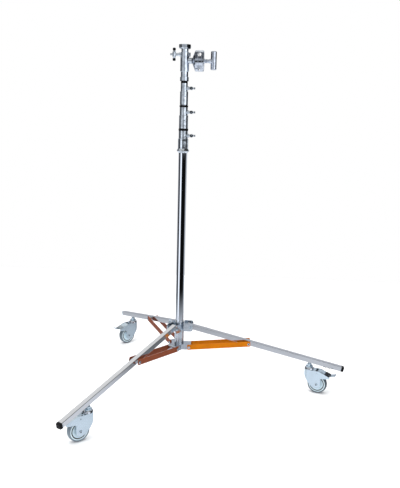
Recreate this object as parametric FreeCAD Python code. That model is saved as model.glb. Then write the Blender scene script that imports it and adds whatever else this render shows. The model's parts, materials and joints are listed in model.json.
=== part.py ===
import FreeCAD, Part
import math
import os

# Roller stand: a folding three-leg base on swivel casters, a telescoping mast of one
# column and three risers, and a head with a pin receiver and a grip head.
# Millimetres, +Z up. While it is built, the mast axis is the Z axis and the floor is Z = 0.
# The right leg points along +X, the rear leg to azimuth 120 and the front leg to 240.

V = FreeCAD.Vector
UP = V(0, 0, 1)
ORIGIN = V(0, 0, 0)

# Fits and clearances
running_gap = 0.05
side_gap = 0.3
face_gap = 0.1
overrun = 5.0

# Base layout, in the plane of one leg: r is the distance from the mast axis
leg_azimuths = {"right": 0.0, "rear": 120.0, "front": 240.0}
leg_pivot_r = 58.5
leg_slope = 13.9
folded_slope = 70.0
brace_pivot_r = 54.0
brace_pivot_drop = 107.5
brace_pin_along = 311.5
caster_beyond_brace = 329.5
leg_beyond_caster = 181.0
caster_along = brace_pin_along + caster_beyond_brace
leg_end_along = caster_along + leg_beyond_caster

# Leg: a square tube with a plastic end cap
leg_width = 25.4
leg_wall = 2.0
leg_inner_end = 16.0
cross_tube_radius = 7.0
cap_rim = 8.0
cap_plug_length = 18.0
cap_plug_gap = 0.1
cap_corner = 2.5
leg_corner = 2.0

# Caster: pressed fork, disc wheel and tyre
caster_headings = {"right": -21.0, "rear": 226.0, "front": 220.0}
braked = ("right", "rear")
wheel_radius = 50.8
tread_width = 30.0
tread_shoulder = 4.0
hub_radius = 43.0
hub_width = 25.0
hub_groove_radius = 35.5
hub_groove_width = 4.0
hub_groove_depth = 3.5
hub_boss_radius = 13.0
hub_boss_width = 38.0
hub_dish = 3.0
axle_radius = 5.0
axle_head_radius = 7.0
axle_head_height = 3.5
caster_trail = 47.0
fork_half_width = 24.0
fork_wall = 2.5
fork_crown_rise = 71.7
fork_crown_z = wheel_radius + fork_crown_rise
fork_arm_radius = 20.0
fork_front_drop = 29.0
fork_crown_reach = 11.0
fork_tail_reach = 66.0
fork_tail_rise = 50.0
fork_tail_tip_radius = 5.0
fork_tail_depth = 9.0
fork_notch_rise = 35.0
fork_waist_rise = 2.0
tyre_gap = 0.6
pedal_opening = 19.0
race_radius = 23.0
race_height = 11.0
leg_above_race = 36.5
lock_ring_radius = 18.0
lock_ring_height = 5.0
lock_ring_teeth = 12
lock_notch_width = 3.5
lock_notch_depth = 2.5
stem_nut_across = 22.0
stem_nut_height = 9.0
kingpin_radius = 8.0
kingpin_foot_radius = 12.0
kingpin_nut_height = 4.0

# Brake pedal: a pressed lever with a pad, a shoe over the tread and a pivot pin
pedal_pivot_back = 2.0
pedal_pivot_rise = 58.7
pedal_pin_radius = 2.5
pedal_pin_head_radius = 4.5
pedal_pin_head_height = 1.5
pedal_eye_radius = 4.5
pedal_half_width = 17.5
pedal_plate = 2.5
pedal_slope = 16.0
pedal_lift = 12.0
pedal_length = 91.0
pedal_tip_length = 24.0
pedal_bend_radius = 6.0
pedal_tip_rise = 32.0
pad_start_share = 0.42
pad_end_share = 0.71
pad_height = 3.0
pad_margin = 3.0
shoe_length = 18.0
shoe_width = 22.0
shoe_gap = 2.5
pedal_press = 5.0

# Column and brace casting at its foot
column_radius = 21.0
column_wall = 2.0
column_foot_drop = 10.5
column_length = 1006.0
casting_radius = 23.8
casting_floor = 6.0
casting_height = 61.0
foot_radius = 14.0
foot_drop = 8.0
lug_half_height = 14.5
lug_end_margin = 11.0
lug_end_radius = 9.0

# Brace: two flat straps, one on each side of the leg
strap_half_gap = 25.5
strap_thickness = 3.0
strap_height = 27.0
strap_end_margin = 9.0
strap_corner = 7.0
pin_radius = 4.0
pin_head_radius = 6.5
pin_head_height = 4.0
pin_head_round = 1.5

# Leg collar: a sleeve with three clevis brackets, sliding on the column
sleeve_radius = 24.0
bush_wall = 1.4
sleeve_above_pivot = 25.0
ear_half_gap = 24.0
ear_thickness = 5.0
ear_half_height = 21.0
ear_end_margin = 12.5
ear_corner = 10.0
bracket_web = 5.0
leg_pin_radius = 5.0
leg_pin_head_radius = 7.5
leg_pin_head_height = 4.5
lock_knob_azimuth = 60.0
lock_knob_below_pivot = 37.0

# Risers and their collars, from the column up
riser_radii = (18.0, 15.5, 13.0)
riser_wall = 1.5
riser_foot_rises = (59.0, 79.0, 99.0)
collar_wide_heights = (68.0, 64.0, 64.0)
collar_narrow_heights = (39.0, 39.0, 39.0)
neck_gaps = (8.0, 9.0, 8.0)
collar_wide_radii = (25.0, 22.0, 19.5)
collar_narrow_radii = (22.5, 19.5, 16.8)
rim_radii = (23.6, 21.0, 16.4)
rim_height = 8.0
liner_wall = 1.2
guide_skirt = 38.0
guide_floor = 6.0
collar_edge = 1.2
flange_radius = 30.0
flange_height = 20.0
flange_round = 7.0
tube_overlap = 160.0

# T-knobs
knob_boss_radius = 9.0
knob_boss_reach = 6.0
knob_shank_radius = 4.0
knob_hub_radius = 7.0
knob_bar_offset = 18.0
receiver_bar_offset = 28.0
lock_bar_offset = 34.0
knob_bar_length = 58.0
knob_bar_radius = 8.5
knob_bar_end_radius = 5.0
knob_bar_end_share = 0.62
knob_cap_radius = 4.6
knob_cap_reach = 18.0
knob_drop_share = 0.62

# Head: pin receiver
head_ring_height = 20.0
head_waist_height = 25.0
head_barrel_height = 68.0
head_shoulder_height = 20.0
head_neck_height = 14.0
head_cap_height = 20.0
head_ring_radius = 21.0
head_waist_radius = 18.0
head_barrel_radius = 21.0
head_shoulder_radius = 19.8
head_neck_radius = 17.0
cap_across_flats = 55.0
cap_sides = 8
cap_chamfer = 6.0
cap_top_chamfer = 1.5
receiver_radius = 14.4
receiver_lead = 1.5
socket_depth = 64.0
receiver_web = 11.0
receiver_knob_rise = 9.0
receiver_boss_reach = 9.0
set_screw_radius = 3.0
set_screw_azimuth = -55.0

# Grip head: two jaw discs on one screw, with a T-handle
grip_drop = 19.0
grip_boss_radius = 14.0
grip_boss_end = 33.0
grip_neck_radius = 12.5
grip_cone_end = 49.0
grip_cone_radius = 45.0
grip_disc_radius = 48.5
grip_disc_edge = 3.0
grip_split = 69.5
grip_face = 91.0
grip_screw_radius = 6.0
grip_screw_start = 17.0
rod_channel_radius = 10.0
rod_channel_lift = 29.0
rod_mouth_height = 27.0
rod_mouth_lift = 24.5
rod_mouth_start = 55.5
rod_mouth_depth = 13.0
small_channel_radius = 5.0
small_channel_drop = 40.0
handle_washer_radius = 14.0
handle_washer_thickness = 2.5
handle_shank_radius = 8.5
handle_flare_start = 112.0
handle_bar_start = 123.0
handle_flare_radius = 12.0
handle_bar_radius = 14.0
handle_bar_length = 86.0
handle_bar_round = 4.5
handle_lift = 3.0
grip_opening = 6.0
grip_screw_pitch = 3.0

# Heights above the floor, each from the piece that carries it
leg_pivot_z = (fork_crown_z + race_height + leg_above_race
               + caster_along * math.sin(math.radians(leg_slope)))
sleeve_top_z = leg_pivot_z + sleeve_above_pivot
brace_pivot_z = leg_pivot_z - brace_pivot_drop
column_bottom_z = brace_pivot_z - column_foot_drop
casting_bottom_z = column_bottom_z - casting_floor
casting_top_z = casting_bottom_z + casting_height
foot_bottom_z = casting_bottom_z - foot_drop
riser_bottoms_z = [column_bottom_z + rise for rise in riser_foot_rises]
collar_bottoms_z = [column_bottom_z + column_length]
collar_steps_z = []
collar_tops_z = []
for wide, narrow, gap in zip(collar_wide_heights, collar_narrow_heights, neck_gaps):
    collar_steps_z.append(collar_bottoms_z[-1] + wide)
    collar_tops_z.append(collar_steps_z[-1] + narrow)
    collar_bottoms_z.append(collar_tops_z[-1] + gap)
head_bottom_z = collar_bottoms_z.pop()
head_ring_top_z = head_bottom_z + head_ring_height
head_waist_top_z = head_ring_top_z + head_waist_height
head_barrel_top_z = head_waist_top_z + head_barrel_height
head_shoulder_top_z = head_barrel_top_z + head_shoulder_height
head_neck_top_z = head_shoulder_top_z + head_neck_height
head_top_z = head_neck_top_z + head_cap_height
receiver_depth = head_top_z - head_bottom_z - socket_depth - receiver_web
receiver_knob_z = head_barrel_top_z + receiver_knob_rise
grip_z = head_barrel_top_z - grip_drop


def cylinder(radius, start, end):
    along = end.sub(start)
    return Part.makeCylinder(radius, along.Length, start, along)


def pipe(outer, inner, z_low, z_high):
    wall = cylinder(outer, V(0, 0, z_low), V(0, 0, z_high))
    return wall.cut(cylinder(inner, V(0, 0, z_low - overrun), V(0, 0, z_high + overrun)))


def fuse_all(shapes):
    whole = shapes[0]
    for shape in shapes[1:]:
        whole = whole.fuse(shape)
    return whole.removeSplitter()


def turned(shape, degrees, center=ORIGIN, axis=UP):
    copy = shape.copy()
    copy.rotate(center, axis, degrees)
    return copy


def moved(shape, offset):
    copy = shape.copy()
    copy.translate(offset)
    return copy


def revolved(points, base=ORIGIN, axis=UP):
    wire = Part.makePolygon(points + [points[0]])
    solid = Part.Face(wire).revolve(base, axis, 360)
    return solid if solid.Volume > 0 else solid.reversed()


def upright(profile):
    return revolved([V(r, 0, z) for r, z in profile])


def rounded_face(corners):
    """A face in the XZ plane from corners (x, z, radius), with an arc at each corner that has a radius."""
    count = len(corners)
    stops = []
    for i in range(count):
        x, z, radius = corners[i]
        here = V(x, 0, z)
        before = V(corners[i - 1][0], 0, corners[i - 1][1])
        after = V(corners[(i + 1) % count][0], 0, corners[(i + 1) % count][1])
        if radius == 0:
            stops.append((here, here, here))
            continue
        back = before.sub(here).normalize()
        ahead = after.sub(here).normalize()
        half = back.getAngle(ahead) / 2
        reach = radius / math.tan(half)
        middle = back.add(ahead).normalize()
        nearest = radius / math.sin(half) - radius
        stops.append((here.add(back.multiply(reach)), here.add(middle.multiply(nearest)),
                      here.add(ahead.multiply(reach))))
    edges = []
    for i in range(count):
        first, mid, last = stops[i]
        following = stops[(i + 1) % count][0]
        if first.distanceToPoint(last) > 0:
            edges.append(Part.Arc(first, mid, last).toShape())
        if last.distanceToPoint(following) > 1e-6:
            edges.append(Part.LineSegment(last, following).toShape())
    return Part.Face(Part.Wire(edges))


def slab(face, y_low, y_high):
    return moved(face, V(0, y_low, 0)).extrude(V(0, y_high - y_low, 0))


def pair(shape):
    return [shape, shape.mirror(ORIGIN, V(0, 1, 0))]


def bar_across(radius, x, z, y_low, y_high):
    return cylinder(radius, V(x, y_low, z), V(x, y_high, z))


def domed_head(radius, height, round_radius, x, z, y_face):
    """A round pin head standing on the plane Y = y_face, on the outer side of it."""
    side = math.copysign(height, y_face)
    head = cylinder(radius, V(x, y_face, z), V(x, y_face + side, z))
    rim = [edge for edge in head.Edges if abs(edge.CenterOfMass.y - y_face - side) < 1e-6 and edge.Closed]
    return head.makeFillet(round_radius, rim)


# Fold: one leg, its brace and the sliding collar are a triangle with one side that grows

def leg_point(along, above=0, slope=leg_slope, lift=0):
    """A point of a leg as (r, z), at a distance along its centre line and above it."""
    angle = math.radians(slope)
    r = leg_pivot_r + along * math.cos(angle) + above * math.sin(angle)
    z = leg_pivot_z + lift - along * math.sin(angle) + above * math.cos(angle)
    return r, z


pin_r, pin_z = leg_point(brace_pin_along)
strap_length = math.hypot(pin_r - brace_pivot_r, pin_z - brace_pivot_z)
strap_rise = math.degrees(math.atan2(pin_z - brace_pivot_z, pin_r - brace_pivot_r))
folded_pin_r = leg_pivot_r + brace_pin_along * math.cos(math.radians(folded_slope))
folded_strap_rise = math.degrees(math.acos((folded_pin_r - brace_pivot_r) / strap_length))
folded_pin_z = brace_pivot_z + strap_length * math.sin(math.radians(folded_strap_rise))
folded_pivot_z = folded_pin_z + brace_pin_along * math.sin(math.radians(folded_slope))
fold_travel = folded_pivot_z - leg_pivot_z
leg_turn = folded_slope - leg_slope
brace_turn = folded_strap_rise - strap_rise
caster_r, caster_leg_z = leg_point(caster_along)


def on_leg(shape, name):
    """Moves a shape from the leg's own frame, pivot at the origin and +X along it, to its place."""
    placed = turned(shape, leg_slope, ORIGIN, V(0, 1, 0))
    return turned(moved(placed, V(leg_pivot_r, 0, leg_pivot_z)), leg_azimuths[name])


def on_caster(shape, name):
    """Moves a shape from the caster's own frame, swivel axis at the origin and +X trailing."""
    placed = turned(shape, caster_headings[name])
    azimuth = math.radians(leg_azimuths[name])
    return moved(placed, V(caster_r * math.cos(azimuth), caster_r * math.sin(azimuth), 0))


# Casters

def wheel_tyre():
    half = tread_width / 2
    shoulder_r = wheel_radius - tread_shoulder
    profile = [V(hub_radius, -hub_width / 2, 0), V(shoulder_r, -half, 0)]
    lower = [Part.LineSegment(profile[0], profile[1]).toShape()]
    crown = Part.Arc(profile[1], V(wheel_radius, 0, 0), V(shoulder_r, half, 0)).toShape()
    upper = Part.LineSegment(V(shoulder_r, half, 0), V(hub_radius, hub_width / 2, 0)).toShape()
    inner = Part.LineSegment(V(hub_radius, hub_width / 2, 0), profile[0]).toShape()
    ring = Part.Face(Part.Wire(lower + [crown, upper, inner])).revolve(ORIGIN, V(0, 1, 0), 360)
    return moved(ring, V(caster_trail, 0, wheel_radius))


def wheel_hub():
    half = hub_width / 2
    groove_in = hub_groove_radius - hub_groove_width / 2
    groove_out = hub_groove_radius + hub_groove_width / 2
    bore = axle_radius + running_gap
    side = [(bore, hub_boss_width / 2), (hub_boss_radius, hub_boss_width / 2),
            (hub_boss_radius + hub_dish, half - hub_dish),
            (groove_in - hub_dish, half), (groove_in, half), (groove_in, half - hub_groove_depth),
            (groove_out, half - hub_groove_depth), (groove_out, half), (hub_radius, half)]
    points = [V(r, y, 0) for r, y in side] + [V(r, -y, 0) for r, y in reversed(side)]
    return moved(revolved(points, ORIGIN, V(0, 1, 0)), V(caster_trail, 0, wheel_radius))


def axle():
    reach = fork_half_width
    rod = bar_across(axle_radius, caster_trail, wheel_radius, -reach, reach)
    heads = [domed_head(axle_head_radius, axle_head_height, pin_head_round, caster_trail, wheel_radius, y)
             for y in (-reach, reach)]
    return fuse_all([rod] + heads)


def fork_side_face(inset):
    """Side outline of the pressed fork, drawn in by inset along its top and front."""
    axle_x = caster_trail
    top = fork_crown_z - inset
    front = -fork_half_width + inset
    tail_x = axle_x + fork_tail_reach - inset
    tail_top = wheel_radius + fork_tail_rise - inset
    tail_low = wheel_radius + fork_tail_rise - fork_tail_depth
    arm = fork_arm_radius
    crown_end = axle_x + fork_crown_reach
    waist_x = axle_x - hub_radius + inset
    under = wheel_radius + fork_notch_rise + inset
    corners = [(front, top, 0), (front, top - fork_front_drop, arm),
               (waist_x, wheel_radius + fork_waist_rise, arm),
               (axle_x - arm, wheel_radius - arm, arm * 0.9), (axle_x + arm, wheel_radius - arm, arm * 0.9),
               (axle_x + arm, under, fork_tail_tip_radius), (tail_x, tail_low + inset, fork_tail_depth / 3),
               (tail_x, tail_top, fork_tail_tip_radius / 2), (crown_end, top, arm)]
    return rounded_face(corners)


def fork_plan(half_width):
    """The fork seen from above: round about the swivel axis and straight to the tail."""
    tail = caster_trail + fork_tail_reach + overrun
    nose = cylinder(half_width, V(0, 0, -overrun), V(0, 0, fork_crown_z + overrun))
    body = Part.makeBox(tail, 2 * half_width, fork_crown_z + 2 * overrun, V(0, -half_width, -overrun))
    return nose.fuse(body)


waist_start = caster_trail - hub_radius + fork_wall


def fork(with_brake):
    outer = slab(fork_side_face(0), -fork_half_width, fork_half_width).common(fork_plan(fork_half_width))
    inner_half = fork_half_width - fork_wall
    tall = slab(fork_side_face(fork_wall), -inner_half, inner_half)
    hollow = tall.common(fork_plan(inner_half))
    tail_floor = wheel_radius + fork_tail_rise - fork_wall
    below = Part.makeBox(caster_trail + fork_tail_reach, 2 * inner_half, tail_floor,
                         V(waist_start, -inner_half, 0))
    wheel_well = bar_across(wheel_radius + tyre_gap, caster_trail, wheel_radius, -inner_half, inner_half)
    shell = outer.cut(hollow).cut(below).cut(wheel_well)
    shell = shell.cut(bar_across(axle_radius, caster_trail, wheel_radius, -2 * fork_half_width,
                                 2 * fork_half_width))
    if with_brake:
        rear = caster_trail + fork_tail_reach + overrun
        start = caster_trail - pedal_pivot_back - pedal_eye_radius - fork_wall
        opening = Part.makeBox(rear - start, 2 * pedal_opening, fork_crown_z,
                               V(start, -pedal_opening, wheel_radius))
        shell = shell.cut(opening)
    shell = shell.cut(bar_across(pedal_pin_radius, caster_trail - pedal_pivot_back,
                                 wheel_radius + pedal_pivot_rise, -2 * fork_half_width,
                                 2 * fork_half_width))
    race_top = fork_crown_z + race_height
    race = upright([(kingpin_radius + running_gap, fork_crown_z - fork_wall),
                    (race_radius, fork_crown_z - fork_wall),
                    (race_radius, fork_crown_z + race_height / 2),
                    (race_radius - race_height / 2, race_top),
                    (kingpin_radius + running_gap, race_top)])
    bore = cylinder(kingpin_radius + running_gap, V(0, 0, fork_crown_z / 2), V(0, 0, 2 * fork_crown_z))
    return shell.cut(bore).fuse(race).removeSplitter()


def hexagon(across, z_low, z_high):
    radius = across / math.sqrt(3)
    points = [V(radius * math.cos(math.radians(60 * i)), radius * math.sin(math.radians(60 * i)), z_low)
              for i in range(7)]
    return Part.Face(Part.makePolygon(points)).extrude(V(0, 0, z_high - z_low))


def caster_stem():
    """King pin, toothed lock ring, spacer and nut between the fork and the leg."""
    ring_low = fork_crown_z + race_height + face_gap
    ring_high = ring_low + lock_ring_height
    pin_low = fork_crown_z - fork_wall - kingpin_nut_height - face_gap
    pin_high = pin_low + kingpin_nut_height
    ring = cylinder(lock_ring_radius, V(0, 0, ring_low), V(0, 0, ring_high))
    for i in range(lock_ring_teeth):
        notch = Part.makeBox(2 * lock_notch_depth, lock_notch_width, lock_ring_height + 2 * overrun,
                             V(lock_ring_radius - lock_notch_depth, -lock_notch_width / 2,
                               ring_low - overrun))
        ring = ring.cut(turned(notch, 360 * i / lock_ring_teeth))
    nut = hexagon(stem_nut_across, ring_high, ring_high + stem_nut_height)
    pin = cylinder(kingpin_radius, V(0, 0, pin_high), V(0, 0, caster_leg_z))
    foot = cylinder(kingpin_foot_radius, V(0, 0, pin_low), V(0, 0, pin_high))
    return fuse_all([ring, nut, pin, foot])


def pedal_shoe():
    """Brake block under the pedal, hollowed to the tyre that it is pressed on."""
    slope = math.radians(pedal_slope)
    axle_x = pedal_pivot_back * math.cos(slope) + pedal_pivot_rise * math.sin(slope)
    axle_z = pedal_pivot_back * math.sin(slope) - pedal_pivot_rise * math.cos(slope)
    low = axle_z + wheel_radius - shoe_length / 2
    block = Part.makeBox(shoe_length, shoe_width, pedal_lift - low,
                         V(axle_x - shoe_length / 2, -shoe_width / 2, low))
    return block.cut(bar_across(wheel_radius + shoe_gap, axle_x, axle_z, -shoe_width, shoe_width))


def brake_pedal():
    """Built flat along +X from its pivot, then tilted down to its rest slope."""
    half = pedal_half_width
    low = pedal_lift
    high = pedal_lift + pedal_plate
    bend = pedal_length - pedal_tip_length
    tip_high = high + pedal_tip_length * math.tan(math.radians(pedal_tip_rise))
    side = [(0, low, 0), (bend, low, pedal_bend_radius), (pedal_length, tip_high - pedal_plate, 0),
            (pedal_length, tip_high, 0),
            (bend, high, pedal_bend_radius), (0, high, 0)]
    plate = slab(rounded_face(side), -half, half)
    eye = bar_across(pedal_eye_radius, 0, 0, -half, half)
    cheek_end = 2 * high
    cheek_face = rounded_face([(-pedal_eye_radius, 0, 0), (pedal_eye_radius, 0, 0),
                               (cheek_end, low - pedal_plate, pedal_bend_radius), (cheek_end, high, 0),
                               (0, high, pedal_eye_radius)])
    cheeks = pair(slab(cheek_face, half - pedal_plate, half))
    pad_start = pedal_length * pad_start_share
    pad_end = pedal_length * pad_end_share
    pad = slab(rounded_face([(pad_start, high, 0), (pad_end, high, 0),
                             (pad_end, high + pad_height, pad_height / 2),
                             (pad_start, high + pad_height, pad_height / 2)]), -half + pad_margin,
                             half - pad_margin)
    pedal = fuse_all([plate, eye, pedal_shoe(), pad] + cheeks)
    pedal = pedal.cut(bar_across(pedal_pin_radius + running_gap, 0, 0, -2 * half, 2 * half))
    tilted = turned(pedal, pedal_slope, ORIGIN, V(0, 1, 0))
    return moved(tilted, V(caster_trail - pedal_pivot_back, 0, wheel_radius + pedal_pivot_rise))


def pedal_pin():
    x = caster_trail - pedal_pivot_back
    z = wheel_radius + pedal_pivot_rise
    rod = bar_across(pedal_pin_radius, x, z, -fork_half_width, fork_half_width)
    heads = [domed_head(pedal_pin_head_radius, pedal_pin_head_height, pedal_pin_head_height / 2, x, z, y)
             for y in (-fork_half_width, fork_half_width)]
    return fuse_all([rod] + heads)


# Legs

def square_bar(half, x_low, x_high, corner):
    bar = Part.makeBox(x_high - x_low, 2 * half, 2 * half, V(x_low, -half, -half))
    long_edges = [edge for edge in bar.Edges if abs(edge.tangentAt(edge.FirstParameter).x) > 1 - 1e-6]
    return bar.makeFillet(corner, long_edges)


def leg_tube():
    half = leg_width / 2
    tube = square_bar(half, -leg_inner_end, leg_end_along - cap_rim, leg_corner)
    tube = tube.cut(square_bar(half - leg_wall, -2 * leg_inner_end, leg_end_along, leg_corner / 2))
    pivot_tube = bar_across(cross_tube_radius, 0, 0, -half, half)
    pin_tube = bar_across(cross_tube_radius, brace_pin_along, 0, -strap_half_gap + side_gap,
                          strap_half_gap - side_gap)
    tube = tube.fuse([pivot_tube, pin_tube])
    tube = tube.cut(bar_across(leg_pin_radius + running_gap, 0, 0, -leg_width, leg_width))
    return tube.cut(bar_across(pin_radius + running_gap, brace_pin_along, 0, -2 * strap_half_gap,
                               2 * strap_half_gap))


def leg_cap():
    half = leg_width / 2
    plug_half = half - leg_wall - cap_plug_gap
    start = leg_end_along - cap_rim
    rim = square_bar(half, start, leg_end_along, cap_corner)
    end_edges = [edge for edge in rim.Edges if abs(edge.CenterOfMass.x - leg_end_along) < 1e-6]
    rim = rim.makeFillet(cap_rim / 3, end_edges)
    plug = square_bar(plug_half, start - cap_plug_length, start, leg_corner / 2)
    return fuse_all([rim, plug])


# Braces

def strap_face():
    half = strap_height / 2
    low_x = -strap_end_margin
    high_x = strap_length + strap_end_margin
    return rounded_face([(low_x, -half, strap_corner), (high_x, -half, strap_corner),
                         (high_x, half, strap_corner),
                         (low_x, half, strap_corner)])


def on_brace(shape, name):
    placed = turned(shape, -strap_rise, ORIGIN, V(0, 1, 0))
    return turned(moved(placed, V(brace_pivot_r, 0, brace_pivot_z)), leg_azimuths[name])


def brace_straps():
    strap = slab(strap_face(), strap_half_gap, strap_half_gap + strap_thickness)
    strap = strap.cut(bar_across(pin_radius + running_gap, 0, 0, 0, 2 * strap_half_gap))
    strap = strap.cut(bar_across(pin_radius, strap_length, 0, 0, 2 * strap_half_gap))
    return pair(strap)


def brace_end_bolts():
    """Short bolts through each strap at the leg end, with heads outside."""
    outer = strap_half_gap + strap_thickness
    stub = bar_across(pin_radius, strap_length, 0, strap_half_gap, outer)
    head = domed_head(pin_head_radius, pin_head_height, pin_head_round, strap_length, 0, outer)
    return pair(fuse_all([stub, head]))


def brace_pivot_bolt():
    outer = strap_half_gap + strap_thickness + side_gap
    rod = bar_across(pin_radius, brace_pivot_r, brace_pivot_z, -outer, outer)
    heads = [domed_head(pin_head_radius, pin_head_height, pin_head_round, brace_pivot_r, brace_pivot_z, y)
             for y in (-outer, outer)]
    return fuse_all([rod] + heads)


def brace_casting():
    barrel = cylinder(casting_radius, V(0, 0, casting_bottom_z), V(0, 0, casting_top_z))
    half = strap_half_gap - side_gap
    end = brace_pivot_r + lug_end_margin
    low = brace_pivot_z - lug_half_height
    high = brace_pivot_z + lug_half_height
    lug = slab(rounded_face([(0, low, 0), (end, low, lug_end_radius), (end, high, lug_end_radius),
                             (0, high, 0)]), -half, half)
    lug = lug.cut(bar_across(pin_radius, brace_pivot_r, brace_pivot_z, -2 * half, 2 * half))
    foot = upright([(0, foot_bottom_z), (foot_radius - collar_edge, foot_bottom_z),
                    (foot_radius, foot_bottom_z + collar_edge),
                    (foot_radius, column_bottom_z), (0, column_bottom_z)])
    casting = fuse_all([barrel, foot] + [turned(lug, azimuth) for azimuth in leg_azimuths.values()])
    return casting.cut(cylinder(column_radius, V(0, 0, column_bottom_z), V(0, 0, casting_top_z + overrun)))


# Leg collar

def collar_bracket():
    outer = ear_half_gap + ear_thickness
    low = leg_pivot_z - ear_half_height
    high = leg_pivot_z + ear_half_height
    start = sleeve_radius - bush_wall / 2
    end = leg_pivot_r + ear_end_margin
    ear = slab(rounded_face([(start, low, 0), (end, low, ear_corner), (end, high, ear_corner),
                             (start, high, 0)]),
               ear_half_gap, outer)
    ear = ear.cut(bar_across(leg_pin_radius, leg_pivot_r, leg_pivot_z, 0, 2 * outer))
    web = Part.makeBox(bracket_web, 2 * outer, high - low, V(start, -outer, low))
    return fuse_all(pair(ear) + [web])


def leg_collar():
    sleeve = cylinder(sleeve_radius, V(0, 0, casting_top_z + face_gap), V(0, 0, sleeve_top_z))
    brackets = [turned(collar_bracket(), azimuth) for azimuth in leg_azimuths.values()]
    boss = turned(cylinder(knob_boss_radius, V(column_radius, 0, lock_knob_z),
                           V(sleeve_radius + knob_boss_reach, 0, lock_knob_z)),
                  lock_knob_azimuth)
    whole = fuse_all([sleeve, boss] + brackets)
    whole = whole.cut(cylinder(column_radius + bush_wall, V(0, 0, casting_top_z - overrun),
                               V(0, 0, sleeve_top_z + overrun)))
    shank = cylinder(knob_shank_radius + running_gap, V(0, 0, lock_knob_z),
                     V(2 * sleeve_radius, 0, lock_knob_z))
    return whole.cut(turned(shank, lock_knob_azimuth))


lock_knob_z = leg_pivot_z - lock_knob_below_pivot


def leg_collar_bush():
    bush = pipe(column_radius + bush_wall, column_radius + running_gap, casting_top_z + face_gap,
                sleeve_top_z)
    shank = cylinder(knob_shank_radius + side_gap, V(0, 0, lock_knob_z),
                     V(2 * sleeve_radius, 0, lock_knob_z))
    return bush.cut(turned(shank, lock_knob_azimuth))


def leg_pivot_bolt():
    outer = ear_half_gap + ear_thickness
    rod = bar_across(leg_pin_radius, leg_pivot_r, leg_pivot_z, -outer, outer)
    heads = [domed_head(leg_pin_head_radius, leg_pin_head_height, pin_head_round,
                        leg_pivot_r, leg_pivot_z, y)
             for y in (-outer, outer)]
    return fuse_all([rod] + heads)


def leg_pivot_spacers():
    low = leg_width / 2 + side_gap
    tube = bar_across(cross_tube_radius, leg_pivot_r, leg_pivot_z, low, ear_half_gap)
    tube = tube.cut(bar_across(leg_pin_radius, leg_pivot_r, leg_pivot_z, 0, 2 * ear_half_gap))
    return pair(tube)


# T-knobs

def t_knob(tip, surface, turn_bar, bar_offset=knob_bar_offset):
    """A clamping knob along +X: shank from its tip, hub, tapered cross bar and end cap."""
    middle = surface + bar_offset
    shank = cylinder(knob_shank_radius, V(tip, 0, 0), V(middle, 0, 0))
    hub = cylinder(knob_hub_radius, V(surface + knob_boss_reach + side_gap, 0, 0), V(middle, 0, 0))
    half = knob_bar_length / 2
    waist = half * knob_bar_end_share
    tip_edge = knob_bar_end_radius / 3
    profile = [(0, -half), (knob_bar_end_radius - tip_edge, -half), (knob_bar_end_radius, -half + tip_edge),
               (knob_bar_end_radius, -waist), (knob_bar_radius, -knob_bar_radius),
               (knob_bar_radius, knob_bar_radius),
               (knob_bar_end_radius, waist), (knob_bar_end_radius, half - tip_edge),
               (knob_bar_end_radius - tip_edge, half),
               (0, half)]
    bar = moved(upright(profile), V(middle, 0, 0))
    cap = cylinder(knob_cap_radius, V(middle, 0, 0), V(middle + knob_cap_reach, 0, 0))
    knob = fuse_all([shank, hub, bar, cap])
    return turned(knob, turn_bar, ORIGIN, V(1, 0, 0))


def knob_height(level):
    top = collar_tops_z[level]
    return top - (top - collar_steps_z[level]) * knob_drop_share


def riser_knob(level):
    knob = t_knob(riser_radii[level] + side_gap, collar_narrow_radii[level], 90)
    return moved(knob, V(0, 0, knob_height(level)))


def collar_lock_knob():
    knob = t_knob(column_radius + side_gap, sleeve_radius, 90, lock_bar_offset)
    return turned(moved(knob, V(0, 0, lock_knob_z)), lock_knob_azimuth)


# Column, risers and their collars

def column():
    return pipe(column_radius, column_radius - column_wall, column_bottom_z, collar_steps_z[0])


def riser(level):
    radius = riser_radii[level]
    top = collar_steps_z[level + 1] if level < 2 else head_bottom_z + socket_depth
    return pipe(radius, radius - riser_wall, riser_bottoms_z[level], top)


def riser_guide(level):
    """Nylon shoe at the foot of a riser: a floor and a thin skirt that slides in the tube outside it."""
    outer = outer_bore(level) - running_gap
    inner = riser_radii[level]
    bottom = riser_bottoms_z[level]
    return upright([(0, bottom - guide_floor), (outer, bottom - guide_floor), (outer, bottom + guide_skirt),
                    (inner, bottom + guide_skirt), (inner, bottom), (0, bottom)])


riser_travels = [collar_steps_z[i] - riser_bottoms_z[i] - tube_overlap for i in range(3)]


def outer_bore(level):
    if level == 0:
        return column_radius - column_wall
    return riser_radii[level - 1] - riser_wall


def riser_collar(level):
    """Cast collar on a tube's top end: wide where it grips the tube, narrow above, with a knob boss."""
    held = column_radius if level == 0 else riser_radii[level - 1]
    bottom = collar_bottoms_z[level]
    step = collar_steps_z[level]
    top = collar_tops_z[level]
    wide = collar_wide_radii[level]
    narrow = collar_narrow_radii[level]
    bore = riser_radii[level] + liner_wall
    if level == 0:
        middle = bottom + flange_height / 2
        foot = [(held, bottom), (flange_radius - flange_round, bottom),
                (flange_radius, middle - collar_edge),
                (flange_radius, middle + collar_edge), (wide, bottom + flange_height)]
    else:
        foot = [(held, bottom), (wide - collar_edge, bottom), (wide, bottom + collar_edge)]
    body = upright(foot + [(wide, step - collar_edge), (narrow, step), (narrow, top), (bore, top),
                           (bore, step), (held, step)])
    z = knob_height(level)
    boss = cylinder(knob_boss_radius, V(bore, 0, z), V(narrow + knob_boss_reach, 0, z))
    body = body.fuse(boss)
    body = body.cut(cylinder(bore, V(0, 0, step), V(0, 0, top + overrun)))
    return body.cut(cylinder(knob_shank_radius + running_gap, V(0, 0, z),
                             V(2 * wide, 0, z))).removeSplitter()


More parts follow.
